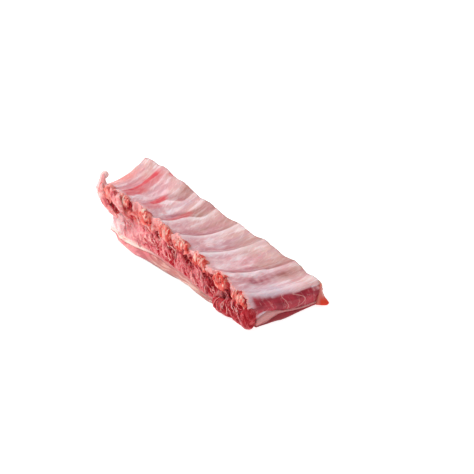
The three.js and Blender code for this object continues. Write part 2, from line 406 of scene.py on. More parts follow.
# Deep hollows in the chine side: x, z, half width along the strands, across them, and depth.
HOLLOWS = [
    (20, 27.5, 6.5, 4.4, 7), (65, 22.5, 6.5, 4.4, 7), (56, 11.5, 5, 2.6, 3), (-28, 29.5, 3.6, 2.6, 4.5),
    (-43, 30.5, 3.8, 2.6, 4), (-8, 27, 4, 2.6, 4.5), (0, 21, 3.4, 2.4, 3.5), (43, 28, 3.6, 2.4, 4),
    (54, 24, 3.4, 2.4, 4), (79, 12.5, 4.5, 2.6, 3.5), (-57, 33, 3, 2, 3), (92, 16, 4, 2.2, 3),
    (-99, 44.5, 4.5, 2, 2.4), (-93, 40.8, 5, 2.2, 2.8), (-87, 37.5, 5, 2.2, 2.8),
]
STRAND_SLOPE = math.radians(50)  # strands run down towards the thin end


def slanted(points):
    """Turned in the plane of the chine side: across the strands, outwards, along the strands."""
    x, y, z = points.T
    c, s = math.cos(STRAND_SLOPE), math.sin(STRAND_SLOPE)
    return np.stack([s * x + c * z, y, c * x - s * z], 1)


def torn_relief(points, upright):
    """Height in mm of the torn surface over its smooth form. upright is 1 where strands stand up
    beside the bone heads, 0 lower down where they slant."""
    flat = points * [1, 0, 1]
    warped = flat + 1.3 * np.stack([noise(flat, 5, 20), 0 * flat[:, 0], noise(flat, 5, 19)], 1)
    slant = slanted(warped)
    lower = 1.2 * ridged(slant, (3.4, 9, 13), 21) + 0.6 * ridged(slant, (1.8, 9, 7), 22)
    upper = 1.3 * ridged(warped, (3.1, 9, 15), 23) + 0.5 * ridged(warped, (1.7, 9, 8), 24)
    lumps = 1.1 * noise(flat, 7, 25) + 0.4 * noise(flat, 1.7, 26)
    return lumps + lerp(lower, upper, upright) - 0.9


def hollow_depth(x, z):
    """Depth in mm of the deep hollows at a place on the chine side."""
    place = slanted(np.stack([x, 0 * x, z], 1))
    depth = np.zeros(len(x))
    for hollow_x, hollow_z, along, aside, deep in HOLLOWS:
        middle = slanted(np.array([[hollow_x, 0, hollow_z]]))[0]
        far = ((place[:, 0] - middle[0]) / aside) ** 2 + ((place[:, 2] - middle[2]) / along) ** 2
        depth = np.maximum(depth, deep * np.exp(-(far**1.5)))
    return depth


def torn_tone(relief):
    """0 in the creases, 1 on the ridges."""
    return np.clip(0.5 + relief / 3.2, 0, 1)


# ---------------------------------------------------------------- the meat round the bones

MEAT_CELLS = (372, 58, 52)
LIP_ROLL = 2.2  # how far the membrane's edge is drawn back from the thin end
FLESH_EDGE = 0.025  # of the way across, where the membrane is torn
# Where meat shows through the membrane: strength, rib coordinate, from and to across, half width.
BARE_STRIPS = [
    (1, 0.88, 0.14, 0.98, 0.19), (0.8, 1.14, 0.02, 0.6, 0.19), (0.5, 1.1, 0.4, 1.0, 0.16),
    (0.95, 1.93, 0.2, 0.68, 0.14), (0.55, 2.08, 0.02, 0.5, 0.17), (0.6, 2.9, 0.1, 0.75, 0.13),
    (0.9, 2.94, 0.34, 0.46, 0.06), (0.8, 1.4, 0.9, 1.2, 0.1), (0.35, 0.54, 0, 0.85, 0.16),
]
ALONG_RIB = (0.1, 0.45, 0.9)  # the places across that the next two lists speak of
# Dark bands before the crests of ribs 3 to 7, partly meat seen through the membrane and partly
# painted shade: how far from the rib before they start, and how dark they are along the rib.
DARK_BANDS = [
    (0.52, (0.5, 0.55, 0.8)), (0.46, (0.9, 0.95, 0.85)), (0.42, (1.0, 0.95, 0.6)),
    (0.46, (0.5, 0.8, 0.75)), (0.5, (0.7, 0.85, 0.7)),
]
CREST_HIGHLIGHT = [  # how strong the painted highlight on each crest's fold is along the rib
    (0, 0, 0), (0, 0, 0), (0.3, 0.25, 0.3), (0.6, 0.6, 0.3), (0.5, 0.6, 0.5), (0.65, 0.6, 0.25),
    (0.3, 0.3, 0.2), (0.3, 0.4, 0.4), (0, 0, 0),
]


def bare_mask(rib, across, where):
    """How much meat shows through the membrane of the inner face."""
    ragged = 0.03 * noise(where, (5, 9, 9), 3) + 0.02 * noise(where, 2.2, 4)
    total = np.zeros(len(rib))
    for strength, middle, start, end, half in BARE_STRIPS:
        along = smoothstep(across, start, start + 0.12) * fade(across, end - 0.14, end)
        strip = strength * along * fade(np.abs(rib - middle) + ragged, half * 0.6, half * 1.3)
        total = np.maximum(total, strip)
    return total


def membrane_relief(rib, across, where):
    """Height in mm of creases and folds that run along the ribs, and a fold on each crest."""
    turned = np.stack([where[:, 0] * 0.94 + where[:, 1] * 0.34, where[:, 1] * 0.94, where[:, 2]], 1)
    creases = 0.26 * noise(turned, (3.2, 18, 9), 11) + 0.1 * noise(turned, (1.5, 9, 6), 12)
    wrinkled = smoothstep(noise(where, (26, 30, 30), 10), -0.1, 0.5) * fade(across, 0.75, 0.95)
    creases += 0.5 * wrinkled * noise(turned, (2.4, 11, 9), 9)
    lumps = 0.35 * noise(where, (8, 13, 9), 13)
    past_crest = rib - np.round(rib)
    fold = 0.5 * fade(past_crest, 0.0, 0.14) * smoothstep(past_crest, -0.035, 0)
    fold *= smoothstep(across, 0, 0.1) * smoothstep(rib, 0.4, 0.8) * fade(rib, 6.3, 6.9)
    return creases + lumps + fold * (0.7 + 0.3 * noise(where, 11, 14))


def past_band(rib, across):
    """How far past a crest a place lies in the pattern of bands, which on the sawn side of the
    first ribs runs on past the crests themselves."""
    drift = lerp(0.42, 0.28, smoothstep(rib, 2.4, 2.7)) * fade(rib, 3.3, 3.6)
    return np.clip(rib - drift * smoothstep(across, 0.45, 0.8), 0, None)


def valley_meat_and_shade_mask(rib, across, where):
    """Dark bands, partly meat that shows through the membrane and partly painted shade: before each
    crest, or behind it in the last interval."""
    pattern = past_band(rib, across)
    past = pattern - np.floor(pattern)
    shifted = past + 0.05 * noise(where, (5, 12, 9), 16)
    total = np.zeros(len(rib))
    for k, (start, darkness) in enumerate(DARK_BANDS, 1):
        band = smoothstep(shifted, start, start + 0.24) * fade(past, 0.96, 0.995)
        band *= np.interp(across, ALONG_RIB, darkness)
        total += band * (np.floor(pattern) == k)
    total *= 0.9 + 0.3 * noise(where, (6, 20, 9), 18)
    behind_crest = bump(shifted, 0.34, 0.16) * (0.78 + 0.28 * noise(where, (30, 3.2, 9), 17))
    behind_crest *= smoothstep(across, 0.06, 0.3) * lerp(1, 0.6, smoothstep(across, 0.75, 0.95))
    total += behind_crest * (pattern > LAST - 1) * (pattern < LAST)
    return np.clip(total, 0, 1)


def crest_highlight_mask(rib, across):
    """A painted highlight along the fold on each crest."""
    pattern = past_band(rib, across)
    total = np.zeros(len(rib))
    for k, shine in enumerate(CREST_HIGHLIGHT):
        past = pattern - k
        total += smoothstep(past, -0.02, 0.01) * fade(past, 0.02, 0.2) * np.interp(
            across, ALONG_RIB, shine)
    return total


def crease_shade_mask(rib, across):
    """Painted shade: a dark line at the foot of each crest's fold."""
    past = rib - np.floor(rib)
    line = smoothstep(past, 0.86, 0.95) * fade(past, 0.975, 0.995) * (rib > 2)
    return line * lerp(1, 0.3, smoothstep(across, 0.5, 0.9)) * fade(rib, 5.9, 6.3)


def end_mask(rib, depth=0.07):
    """-1 on the thick end, 1 on the thin end, 0 between."""
    low, high = END_ALLOWANCE - depth, END_ALLOWANCE
    return smoothstep(rib - LAST, low, high) - smoothstep(-rib, low, high)


def meat_form(rib, across, up):
    """Places on the smooth form of the rib meat."""
    lip = LIP_ROLL * smoothstep(rib, LAST + 0.2, LAST + END_ALLOWANCE) * smoothstep(up, 0.7, 1) ** 2
    x = lengthwise(rib, across, setback_at(up)) + end_bulge(rib, across, up) - lip
    y = lerp(meat_chine_y(rib, up), sawn_y(rib) + SAWN_BULGE * arch(up), across)
    z = lerp(fat_top(rib, across) + GAP, inner_face(rib, across), up)
    return np.stack([x, y, z], 1)


def lean_mask(rib, across, up, where, torn):
    """Lean meat on the cut ends and the sawn side, below the rim that the membrane covers."""
    rim = lerp(0.93, 0.84, smoothstep(rib, 6, 7)) + 0.03 * noise(where, (7, 6, 9), 42)
    sides = np.maximum(np.abs(end_mask(rib)), smoothstep(across, 0.98, 1))
    sides = sides * fade(up, rim - 0.04, rim + 0.1)
    edge = LAST + lerp(0.11, 0.23, across) + 0.045 * noise(where, (9, 2.2, 20), 43)
    edge += 0.05 * smoothstep(across, 0.85, 1)
    over_edge = smoothstep(rib, edge, edge + 0.13)
    skin = fade(across, 0.05, 0.12) * smoothstep(up, 0.6, 0.85)
    skin += fade(across, 0.14, 0.24) * fade(up, 0.06, 0.2)
    uncovered = 1 - np.clip(skin, 0, 1) * smoothstep(rib, LAST - 0.1, LAST)
    return np.clip(np.maximum(sides, over_edge) * uncovered * (1 - torn), 0, 1)


def blood_mask(rib, up):
    """How red the torn side is: more towards the thin end, and there down to its foot."""
    at_foot = lerp(0.2, 1, smoothstep(rib, 5.6, 6.3))
    upwards = lerp(at_foot, 1, smoothstep(up, 0.15, 0.45))
    return smoothstep(rib, 2.7, 6.3) * fade(up, 0.55, 0.9) * upwards


def meat_body():
    quads, rib, across, up = layer_lattice(*MEAT_CELLS)
    where = meat_form(rib, across, up)
    top, chine, sawn = smoothstep(up, 0.94, 1), fade(across, 0, 0.05), smoothstep(across, 0.97, 1)
    bare = bare_mask(rib, across, where) * top
    hollow = hollow_depth(where[:, 0], where[:, 2]) * chine
    pale = fade(rib, 0.2, 2.6) * fade(up, 0.35, 0.6) * chine
    relief = torn_relief(where, smoothstep(up, 0.5, 0.72) * fade(rib, 6.6, 7.1))
    relief = lerp(1.15 * relief, 0.9 * noise(where, (3.6, 9, 3.6), 44), 0.75 * pale)
    frill = bump(across, 0.012, 0.02) * top * (0.9 * ridged(where, (2.6, 5, 5), 15) - 0.1)
    end_relief = 0.45 * noise(where, (30, 5, 4), 31) + 0.25 * noise(where, (30, 2, 2), 32)
    points = where.copy()
    points[:, 0] += end_mask(rib) * end_relief
    points[:, 1] += hollow - relief * chine * smoothstep(up, 0, 0.1)
    points[:, 1] += sawn * 0.4 * noise(where, (5, 30, 4), 33)
    points[:, 2] += top * membrane_relief(rib, across, where) - 0.6 * bare + frill

    torn = fade(across, FLESH_EDGE * 0.3, FLESH_EDGE + 0.012 * noise(where, 2.4, 41))
    torn = np.maximum(torn, chine * fade(up, 0.9, 0.97))
    # The thick end's flesh is paler; towards the first rib it is made paler still, painted light
    # against the shadow that the corner strips cast.
    paler = lerp(0.2, 0.7, fade(rib, 0, 1)) * pale
    masks = {
        "rib": rib, "across": across, "height": up, "torn": torn, "pale": pale,
        "bare": bare * (1 - torn),
        "lean": lean_mask(rib, across, up, where, torn),
        "tone": np.clip(torn_tone(relief) - hollow / 6 + paler, 0, 1),
        "deep": smoothstep(hollow, 0.8, 3.5) * chine,
        "blood": blood_mask(rib, up) * chine,
        # meat seen through the membrane, with painted shade
        "valley": valley_meat_and_shade_mask(rib, across, where) * top,
        # a painted shade line at the foot of each crest's fold
        "crease": crease_shade_mask(rib, across) * top,
        # a painted highlight along the fold on each crest
        "crest": crest_highlight_mask(rib, across) * top,
        "corner": end_mask(rib, 0.1) * smoothstep(across, 0.93, 0.99),
        "fat": bump(rib, 1.3, 0.75) * fade(up, 0.02, 0.07) * fade(across, 0, 0.06),
        "frill": np.maximum(bump(across, 0.02, 0.02) * top, 0.8 * chine * smoothstep(up, 0.74, 0.92)),
        "rim": fade(rib, -0.12, 0.3) * fade(across, 0.55, 0.95) * top * (1 - torn),
    }
    return (points, quads, masks), layer_flow(rib, across, where[:, 2])


# Lobes of meat at the chine side: middle and half sizes, x, y, z, and masks. Dark ones hang over the
# corner of the thin end; a red and a pale one fill the waist under the corner of the thick end.
DARK_MEAT = {"rib": 7, "height": 0.1, "blood": 1}
LOBES = [
    ((99, -39, 10), (18.5, 5, 10), DARK_MEAT), ((112.5, -38.5, 11.5), (8, 6, 11.5), DARK_MEAT),
    ((104, -40, 17), (11, 4, 7), DARK_MEAT), ((82, -40, 6.5), (17, 5.5, 6.5), DARK_MEAT),
    ((-91, -41.5, 39), (7.5, 4, 11), {"rib": 0, "height": 0.6, "deep": 0.3}),
    ((-90, -38.2, 20), (9.5, 3.4, 11.5), {"rib": 0, "height": 0.4, "pale": 0.75}),
]


def lobe(middle, half_sizes, tints, seed):
    points, faces = sphere_lattice(26, 38)
    where = np.array(middle) + points * half_sizes
    relief = torn_relief(where, 0.4) + 1.2 * noise(where, (3, 5, 3.5), seed)
    at_thick_end = middle[0] < 0  # there the hollows run on over the lobes
    hollow = hollow_depth(where[:, 0], where[:, 2]) * at_thick_end
    moved = where + points * (0.45 * relief + 0.4 - 0.4 * hollow)[:, None]
    moved[:, 2] = np.maximum(moved[:, 2], 0.2)
    masks = all_over(points, torn=1, **tints)
    masks["deep"] = lerp(tints.get("deep", 0), 0.6, smoothstep(hollow, 0.6, 2))
    masks["tone"] = torn_tone(relief - 0.2 + 1.5 * tints.get("pale", 0) - 1.6 * hollow)
    return moved, faces, masks


SHRED_FOOT = (-112, CHINE_Y - 5, CHINE_HEIGHT[0] - 8)
SHRED_CURL = 1.5  # radius of the curl at its tip
SHRED_HALF_WIDTH = (6.4, 2.2)  # at the foot and at the curl
SHRED_DEPTH = 0.75  # of its width, as of the strips beside it


def corner_shred():
    """A shred of meat that stands on the chine corner of the thick end and curls over at its tip."""
    t = np.linspace(0, 1, 34)
    stem, curl = np.clip(t / 0.5, 0, 1), np.clip((t - 0.5) / 0.5, 0, 1)
    angle = 4.4 * curl
    forwards = SHRED_CURL * (1 - np.cos(angle))
    upwards = 1.1 * SHRED_CURL * np.sin(angle)
    path = np.outer(stem, [2.5, 1.5, 15]) + np.stack([0.6 * forwards, 0.75 * forwards, upwards], 1)
    path += SHRED_FOOT
    width = lerp(*SHRED_HALF_WIDTH, np.clip(1.6 * t, 0, 1) ** 0.8)
    points, faces, _, turn = tube(path, width, SHRED_DEPTH * width, 18)
    relief = noise(points, (1.8, 1.8, 4), 53)
    masks = all_over(points, torn=1, height=0.85, rib=0.3, pale=0.6)
    masks["tone"] = 0.75 + 0.5 * relief
    return roughened(points, turn, 0.9 * relief), faces, masks


# Strips of meat over the chine corner of the thick end: x, y, z and half width at four places.
CORNER_STRIPS = [
    [(-105, -46, 55, 4), (-102, -48.5, 45.5, 4.2), (-94, -47.5, 36, 3.6), (-82, -44.5, 28.5, 2)],
    [(-93, -44, 54, 2.2), (-87, -46.5, 51, 3.1), (-81, -46.5, 45.3, 3.2), (-75, -45, 36.4, 2)],
    [(-112.5, -43.5, 52, 2), (-112.5, -45, 47, 3), (-108, -46, 41.5, 2.6), (-102, -46.5, 37, 1.4)],
    [(-77.5, -45, 54, 2.2), (-76.5, -47, 49.5, 3.6), (-73.5, -46.5, 43, 3.4), (-70, -44.5, 35, 1.6)],
]


def corner_strips():
    strips = []
    t = np.linspace(0, 1, 34)
    for n, places in enumerate(CORNER_STRIPS):
        given_at = np.linspace(0, 1, len(places))
        x, y, z, width = (np.polyval(np.polyfit(given_at, row, 3), t) for row in np.transpose(places))
        width *= arch(np.clip(t, 0.06, 0.94)) ** 0.3
        points, faces, _, turn = tube(np.stack([x, y, z], 1), width, SHRED_DEPTH * width, 28)
        relief = torn_relief(1.25 * points, 0) + 0.6 * noise(points, 1.6, 300 + n)
        masks = all_over(points, torn=1, height=0.9, rib=0.3, pale=0.35)
        masks["tone"] = torn_tone(1.2 * relief + 0.3)
        strips.append((roughened(points, turn, 0.6 * relief), faces, masks))
    return strips


def make_rib_meat(material):
    body, flow = meat_body()
    lobes = [lobe(*form, 90 + n) for n, form in enumerate(LOBES)]
    grown_on = lobes + [corner_shred()] + corner_strips()
    layer("rib_meat_flesh", body, flow, grown_on, material, "rib_meat", "rib_meat")


# ---------------------------------------------------------------- fat and outer meat


FAT_CELLS = (240, 70, 3)
OUTER_CELLS = (300, 84, 14)
FAT_OVERLAP = (0.2, 0.3)  # into the outer meat and the rib meat


def make_fat(material):
    quads, rib, across, up = layer_lattice(*FAT_CELLS)
    x = lengthwise(rib, across, SETBACK_AT_FOOT)
    y = lerp(seam_chine_y(rib), sawn_y(rib), across)
    into_outer, into_meat = FAT_OVERLAP
    z = lerp(outer_top(rib, across) - into_outer, fat_top(rib, across) + GAP + into_meat, up)
    where = np.stack([x, y, z], 1)
    chine, edge = fade(across, 0, 0.03), 0.5 * arch(up)
    proud = 1.1 * bump(rib, 1.6, 1.1)
    points = where.copy()
    points[:, 0] += end_mask(rib) * (edge + 0.3 * noise(where, (30, 4, 3), 62))
    points[:, 1] += smoothstep(across, 0.97, 1) * (edge + 0.4 * noise(where, (6, 30, 3), 61))
    points[:, 1] -= chine * (edge + proud + 0.5 * noise(where, (6, 30, 3), 63))
    side = smoothstep(rib, 1.9, 2.9) * fade(across, 0, 0.06)
    cut = smoothstep(rib, 6.8, 7) * lerp(0.93, 1, smoothstep(across, 0.2, 0.42))
    masks = {"height": up, "pink": np.maximum(side, cut)}
    piece("fat_layer", (points, quads, masks), layer_flow(rib, across, z), material, "fat", "fat_seam")


def outer_body():
    quads, rib, across, up = layer_lattice(*OUTER_CELLS)
    inset, foot = BASE_ROUND * (1 - up) ** 3, base(rib, across)
    toe = TOE * past_last(rib) * bump(across, 0.4, 0.22) * (1 - up)
    belly = at_rib(OUTER_REACH, rib) * (1 - up**4)
    x = lengthwise(rib, across, SETBACK_AT_FOOT) + end_bulge(rib, across, up) + toe
    x -= end_mask(rib, 0.2) * inset
    y = lerp(seam_chine_y(rib) - belly + inset, sawn_y(rib) - inset, across)
    where = np.stack([x, y, lerp(foot, outer_top(rib, across), up)], 1)
    side = (smoothstep(across, 0.95, 1) - fade(across, 0, 0.05)) * smoothstep(up, 0, 0.15)
    under = fade(up, 0, 0.05) * smoothstep(foot, 0.5, 4)
    side_relief = 0.6 * noise(where, (14, 30, 5), 71) + 0.3 * noise(where, (4, 30, 2.5), 72)
    points = where.copy()
    points[:, 0] += end_mask(rib) * 0.4 * noise(where, (30, 4, 3), 74)
    points[:, 1] += side * side_relief
    points[:, 2] += under * 0.8 * noise(where, (11, 17, 30), 73)
    cut = np.maximum(np.abs(end_mask(rib)), smoothstep(across, 0.97, 1)) * smoothstep(up, 0.12, 0.3)
    masks = {"lean": cut, "height": up, "rib": rib, "tan": smoothstep(rib, 2.1, 2.9)}
    return (points, quads, masks), layer_flow(rib, across, where[:, 2])


def corner_flap():
    """Skin and fat that flare out from the sawn corner of the thin end."""
    unit, quads = box_lattice(44, 3, 26)
    t, side, up = unit.T
    flare = 3.5 * t * t * (1 - up) ** 1.5
    thickness = lerp(2.6, 1.3, up) * (1 - 0.55 * t * (1 - up))
    x = 92 + (28 - 4 * up) * t + 0.6 * np.sin(7 * up) * t
    y = SAWN_Y[LAST] + 2.2 + flare + (side - 0.5) * thickness + 0.7 * np.sin(5 * t + 4 * up) * t
    z = lerp(0.3, lerp(3, 15, t * t), up)
    y -= 3.5 * fade(up, 0, 0.12) * (1 - side) * (1 - 0.4 * t)
    points = np.stack([x, y, z], 1)
    points[:, :2] -= np.outer(t**4 * smoothstep(up, 0, 0.5), [1.5, 2])
    masks = all_over(points, rib=LAST)
    masks.update(height=up, flap=smoothstep(t, 0.5, 0.95) * fade(up, 0.1, 0.75))
    return points, quads, masks


def corner_fold():
    """The same skin folded round the corner on to the cut end: a thin sheet that hangs to a tip."""
    unit, quads = box_lattice(3, 26, 30)
    front, side, up = unit.T
    raised = 0.4 + 2.2 * (1 - side) + 1.4 * smoothstep(side, 0.8, 1)
    foot = np.stack([lerp(118.3, 121.5, side), lerp(30.5, 42, side), raised], 1)
    top = np.array([114.6, 38.8, 19.5])
    points = lerp(foot, top, (up**0.85)[:, None])
    points[:, 0] += 1.2 * arch(side) * (1 - up) + (front - 0.5) * lerp(1.6, 0.9, up)
    points[:, :2] -= np.outer(side * arch(up), [1.2, 1.6])
    points[:, 0] += 0.4 * noise(points, (3, 3, 5), 78)
    masks = all_over(points, rib=LAST, fold=1)
    masks.update(height=up, flap=fade(up, 0.12, 0.42) * smoothstep(side, 0.05, 0.4),
                 fat=smoothstep(side, 0.45, 1) * smoothstep(up, 0.12, 0.5))
    return points, quads, masks


def make_outer(material):
    body, flow = outer_body()
    skins = [corner_flap(), corner_fold()]
    layer("outer_meat_layer", body, flow, skins, material, "outer_meat", "outer_meat")


# ---------------------------------------------------------------- bones

HEAD_WARMTH = [0, 0.15, 0.55, 0.6, 0.45, 0.85, 1, 0.6]  # how red each rough head is
SPLINTERS = 7
BONE_SIDES, BONE_ROWS, END_RINGS = 56, 60, 9


def bone_form(k):
    """Rows of (middle x, y, top z, half width, half height, head) along one bone."""
    start = CHINE_Y - KNUCKLE_REACH - HEAD_PROUD - TOP_OVERHANG * fade(k, -0.1, 1.1)
    finish = sawn_y(k + 0.3) + SAWN_BULGE + BONE_PROUD  # clear of the meat on its proud side
    rows = []
    for step in np.linspace(0, 1, BONE_ROWS):
        y = lerp(start, finish, step**1.5)
        across = (y - CHINE_Y) / (SAWN_Y[k] - CHINE_Y)
        inside = np.clip(across, 0, 1)
        head = fade(across, -0.03, 0.2)
        middle = lerp(HEAD_AT_CHINE[k], CREST_AT_SAWN[k] + BONE_PAST_CREST, across)
        covered = inner_face(rib_at(middle, inside), inside) - BONE_COVER
        top = lerp(covered, crest_height(k, 0) - HEAD_TOP, fade(across, -0.03, 0.1))
        top -= 1.6 * bump(across, 0.1, 0.1)
        rows.append((middle, y, top, lerp(BONE_HALF[0], HEAD_HALF[0], head),
                     lerp(BONE_HALF[1], HEAD_HALF[1], head), head))
    return np.array(rows)


def bone_shaft(k):
    """The bone from its chine head to its sawn end, closed by grids of rings at both ends."""
    turn = np.arange(BONE_SIDES) * 2 * math.pi / BONE_SIDES
    rows, inner = bone_form(k), np.linspace(0.1, 0.98, END_RINGS)
    scale = np.concatenate([inner, np.ones(BONE_ROWS), inner[::-1]])[:, None]
    rows = np.vstack([rows[:1].repeat(END_RINGS, 0), rows, rows[-1:].repeat(END_RINGS, 0)])
    middle, y, top, half_width, half_height, head = rows.T[:, :, None]
    ragged = scale * (1 + 0.1 * head * np.sin(5 * turn + 2.3 * k))
    x = middle + half_width * ragged * np.cos(turn)
    z = top - half_height + half_height * ragged * np.sin(turn)
    points = np.stack([x, y + 0 * turn, z], -1).reshape(-1, 3)
    caps = points[:BONE_SIDES].mean(0), points[-BONE_SIDES:].mean(0)
    points, faces = with_caps(points, len(rows), BONE_SIDES, *caps)
    sawn = np.arange(len(rows)) >= len(rows) - END_RINGS - 1
    values = {"chine": (head, (1, 0)), "sawn": (sawn, (0, 1)), "radius": (scale, (0, 0))}
    masks = {name: np.append(np.repeat(np.ravel(along), BONE_SIDES), at_caps)
             for name, (along, at_caps) in values.items()}
    relief = torn_relief(points, 1)
    points[:, 1] -= 0.9 * relief * masks["chine"] * fade(points[:, 1], CHINE_Y - 3, CHINE_Y + 6)
    slit = smoothstep(hollow_depth(points[:, 0], points[:, 2]), 0.8, 2.5)
    masks["tone"] = np.minimum(torn_tone(relief), 0.75) * (1 - slit)
    masks.update(all_over(points, warmth=HEAD_WARMTH[k]))
    return points, faces, masks


def head_splinters(k):
    """The row of upright slivers of bone and gristle that makes up the rough head of a bone."""
    random = np.random.default_rng(100 + k)
    middle, y, top, half_width, half_height, _ = bone_form(k)[0]
    slivers = []
    for n in range(SPLINTERS):
        place = (n + 0.5) / SPLINTERS * 2 - 1
        half = half_width / SPLINTERS * random.uniform(0.8, 1.8)
        reach = math.sqrt(1 - 0.7 * place**2)
        height = 2 * half_height * reach * random.uniform(0.5, 0.95)
        foot_x = middle + place * half_width * 0.95 + random.uniform(-0.5, 0.5)
        foot_z = top - half_height * (1 - reach) + random.uniform(-1.2, 1.4) - height
        lean, bow = random.uniform(-2.2, 1.0), random.uniform(0.2, 1.0)
        t = np.linspace(0, 1, 18)
        path = np.stack([
            foot_x + lean * t,
            y + 1.0 + random.uniform(-0.4, 0.8) - bow * arch(t) + 0.8 * t * t,
            foot_z + height * t,
        ], 1)
        girth = half * arch(np.clip(0.1 + 0.84 * t, 0, 1)) ** 0.45
        points, faces, along, turn = tube(path, girth, 1.25 * girth, 14)
        seed = 200 + 10 * k + n
        points += 0.7 * np.stack([noise(points, (1.8, 1.8, 2.6), seed + m) for m in range(3)], 1)
        warmth = np.clip(HEAD_WARMTH[k] + random.uniform(-0.35, 0.35), 0, 1)
        # Paler on the front that faces out, a painted highlight; paler at the tip and darker at the
        # foot.
        tone = 0.3 + 0.25 * np.clip(np.sin(turn), 0, 1) + 0.25 * smoothstep(along, 0.4, 0.95)
        tone += 0.5 * noise(points, (1, 9, 2.5), 260 + n) - 0.3 * fade(along, 0, 0.25)
        masks = all_over(points, chine=1, radius=0.5, warmth=warmth)
        slivers.append((points, faces, masks | {"tone": np.clip(tone, 0, 1)}))
    return slivers


def make_bones(material):
    for k in range(LAST + 1):
        slivers = head_splinters(k) if k > 0 else []  # strips of meat cover the first head
        body = joined([bone_shaft(k)] + slivers)
        node = f"rib_bone_{k + 1}"
        piece(f"{node}_rough", body, body[0], material, "bone", node)


# ---------------------------------------------------------------- strands on the chine side


def chine_surface_y(x, z):
    """The chine side's Y at a place, from the smooth form."""
    rib = rib_at(x, 0)
    low, high = fat_top(rib, 0) + GAP, inner_face(rib, 0)
    up = float(np.clip((z - low) / (high - low), 0, 1))
    return float(meat_chine_y(rib, up))


def lobes_front_y(x, z):
    """The lobes' front at a place on the chine side, or the middle of the rack where there is none."""
    front = 0.0
    for middle, half, _ in LOBES:
        inside = 1 - ((x - middle[0]) / half[0]) ** 2 - ((z - middle[2]) / half[2]) ** 2
        if inside > 0:
            front = min(front, middle[1] - half[1] * math.sqrt(inside))
    return front


STRANDS = 130


def make_strands(material):
    """Thin pale strands of gristle that cross the torn meat of the chine side."""
    random = np.random.default_rng(7)
    strands = []
    for n in range(STRANDS):
        x = random.uniform(-80, 108)
        rib = rib_at(x, 0)
        low, high = float(fat_top(rib, 0)), float(inner_face(rib, 0))
        z = random.uniform(low + 2, low + 0.66 * (high - low))
        length, slope = random.uniform(3, 11), random.uniform(-1.35, -0.35)
        bend, wave = random.uniform(-0.8, 0.8), random.uniform(0.3, 1.5)
        path = []
        for t in np.linspace(-0.5, 0.5, 11):
            px = x + length * t * math.cos(slope) + bend * length * (0.25 - t * t)
            pz = max(z + length * t * math.sin(slope) + wave * math.sin(9 * t + n), low + 1.2)
            sunk = 0.8 * hollow_depth(np.array([px]), np.array([pz]))[0]
            surface = min(chine_surface_y(px, pz) + sunk, lobes_front_y(px, pz))
            path.append((px, surface - 1 - 0.5 * math.cos(math.pi * t), pz))
        t = np.linspace(0, 1, len(path))
        girth = random.uniform(0.28, 0.75) * arch(np.clip(t, 0.08, 0.92)) ** 0.6
        points, faces, _, _ = tube(path, girth, 0.7 * girth, 6)
        masks = all_over(points, tone=random.uniform(0, 1), blood=smoothstep(rib, 3, 6.4))
        masks["deep"] = smoothstep(hollow_depth(points[:, 0], points[:, 2]), 0.5, 3)
        strands.append((points, faces, masks))
    body = joined(strands)
    piece("chine_strands", body, body[0], material, "rib_meat")


# ---------------------------------------------------------------- shader nodes


def linear(red, green, blue):
    """A display colour from 0 to 255 as scene-linear RGBA."""
    channels = [c / 255 for c in (red, green, blue)]
    return (*[c / 12.92 if c <= 0.04045 else ((c + 0.055) / 1.055) ** 2.4 for c in channels], 1)


def set_inputs(tree, node, inputs):
    """Gives a node's inputs constants, or joins other nodes' outputs to them."""
    for name, value in inputs.items():
        if isinstance(value, bpy.types.NodeSocket):
            tree.links.new(value, node.inputs[name])
        else:
            node.inputs[name].default_value = value


def add(tree, kind, inputs, **settings):
    """A shader node with its settings and inputs."""
    node = tree.nodes.new(kind)
    for name, value in settings.items():
        setattr(node, name, value)
    set_inputs(tree, node, inputs)
    return node


def attribute(tree, name, amount=1):
    """A mask of the mesh, times an amount."""
    mask = add(tree, "ShaderNodeAttribute", {}, attribute_name=name).outputs["Fac"]
    return mask if amount == 1 else times(tree, mask, amount)


def flow_place(tree):
    return add(tree, "ShaderNodeAttribute", {}, attribute_name="flow").outputs["Vector"]


def calculate(tree, operation, a, b=0.0, clamp=False):
    return add(tree, "ShaderNodeMath", {0: a, 1: b}, operation=operation, use_clamp=clamp).outputs[0]


def times(tree, a, b):
    return calculate(tree, "MULTIPLY", a, b)


def remap(tree, value, low, high, to_low=0.0, to_high=1.0):
    inputs = {"Value": value, "From Min": low, "From Max": high, "To Min": to_low, "To Max": to_high}
    return add(tree, "ShaderNodeMapRange", inputs, interpolation_type="SMOOTHSTEP").outputs[0]


def blend(tree, factor, a, b):
    return add(tree, "ShaderNodeMix", {0: factor, 6: a, 7: b}, data_type="RGBA").outputs[2]


def layered(tree, color, *layers):
    """A colour with others laid over it in turn, each given as (how much of it, colour)."""
    for amount, over in layers:
        color = blend(tree, amount, color, over)
    return color


def texture(tree, place, scale, stretch=(1, 1, 1), detail=3, roughness=0.55, distortion=0.0):
    """Noise from 0 to 1; place is in millimetres and scale is in cycles a millimetre."""
    scales = tuple(scale * s for s in stretch)
    mapped = add(tree, "ShaderNodeMapping", {"Vector": place, "Scale": scales})
    inputs = {"Vector": mapped.outputs[0], "Scale": 1.0, "Detail": detail, "Roughness": roughness,
              "Distortion": distortion}
    return add(tree, "ShaderNodeTexNoise", inputs).outputs["Fac"]


